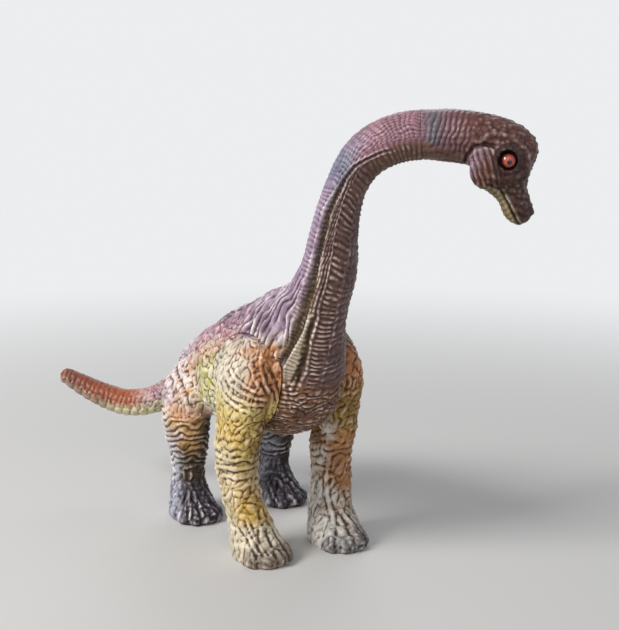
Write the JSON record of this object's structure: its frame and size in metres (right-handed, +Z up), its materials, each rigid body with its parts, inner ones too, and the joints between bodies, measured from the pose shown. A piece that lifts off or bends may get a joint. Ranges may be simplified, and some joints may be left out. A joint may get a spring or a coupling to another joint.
{
  "type": "toy dinosaur figure",
  "caption": "Long-necked moulded dinosaur figure on pillar legs, with a hollow body and plug-in neck, head, legs and tail that turn on pins.",
  "frame": {"origin": "centre of the bounding box on the floor that the feet stand on", "axes": "+Z up, the animal faces -Y and its left side is +X"},
  "size_m": [0.0914, 0.1476, 0.133],
  "materials": {
    "body_pvc": "satin paint, mauve back and olive flanks, dark wash in the creases",
    "neck_pvc": "satin paint, mauve with pale ridges",
    "head_pvc": "satin paint, dark mauve brown",
    "tail_pvc": "satin paint, terracotta top and cream underside",
    "front_leg_pvc": "satin paint, yellow ochre, grey feet",
    "hind_leg_pvc": "satin paint, orange brown thighs, dark grey feet",
    "pin_plastic": "bare natural plastic",
    "eye_gloss": "gloss orange red with a black pupil"
  },
  "bodies": {
    "body": {"torso_shell_right": "body_pvc", "torso_shell_left": "body_pvc"},
    "front_leg_right": {"front_leg_right": "front_leg_pvc", "front_leg_right_pin": "pin_plastic"},
    "front_leg_left": {"front_leg_left": "front_leg_pvc", "front_leg_left_pin": "pin_plastic"},
    "hind_leg_right": {"hind_leg_right": "hind_leg_pvc", "hind_leg_right_pin": "pin_plastic"},
    "hind_leg_left": {"hind_leg_left": "hind_leg_pvc", "hind_leg_left_pin": "pin_plastic"},
    "neck": {"neck": "neck_pvc", "neck_pin": "pin_plastic"},
    "head": {"head": "head_pvc", "head_pin": "pin_plastic", "eye_right": "eye_gloss", "eye_left": "eye_gloss"},
    "tail": {"tail": "tail_pvc", "tail_pin": "pin_plastic"}
  },
  "joints": [
    {"name": "front_leg_right_swing", "type": "hinge", "parent": "body", "child": "front_leg_right", "pos_m": [-0.01329, -0.01885, 0.05178], "axis": [1, 0, 0], "range_deg": [-30, 12]},
    {"name": "front_leg_left_swing", "type": "hinge", "parent": "body", "child": "front_leg_left", "pos_m": [0.00717, -0.01885, 0.05178], "axis": [1, 0, 0], "range_deg": [-30, 12]},
    {"name": "hind_leg_right_swing", "type": "hinge", "parent": "body", "child": "hind_leg_right", "pos_m": [-0.01329, 0.02159, 0.04098], "axis": [1, 0, 0], "range_deg": [-12, 30]},
    {"name": "hind_leg_left_swing", "type": "hinge", "parent": "body", "child": "hind_leg_left", "pos_m": [0.00717, 0.02159, 0.04098], "axis": [1, 0, 0], "range_deg": [-12, 30]},
    {"name": "neck_turn", "type": "hinge", "parent": "body", "child": "neck", "pos_m": [-0.00157, -0.03322, 0.0803], "axis": [0, -0.4067, 0.9135], "range_deg": [-80, 30]},
    {"name": "head_turn", "type": "hinge", "parent": "neck", "child": "head", "pos_m": [0.02041, -0.05167, 0.1259], "axis": [0.7642, -0.6412, 0.0698], "range_deg": [-30, 30]},
    {"name": "tail_turn", "type": "hinge", "parent": "body", "child": "tail", "pos_m": [-0.00604, 0.04228, 0.04124], "axis": [-0.6824, 0.5332, -0.5], "range_deg": [-40, 40]}
  ]
}
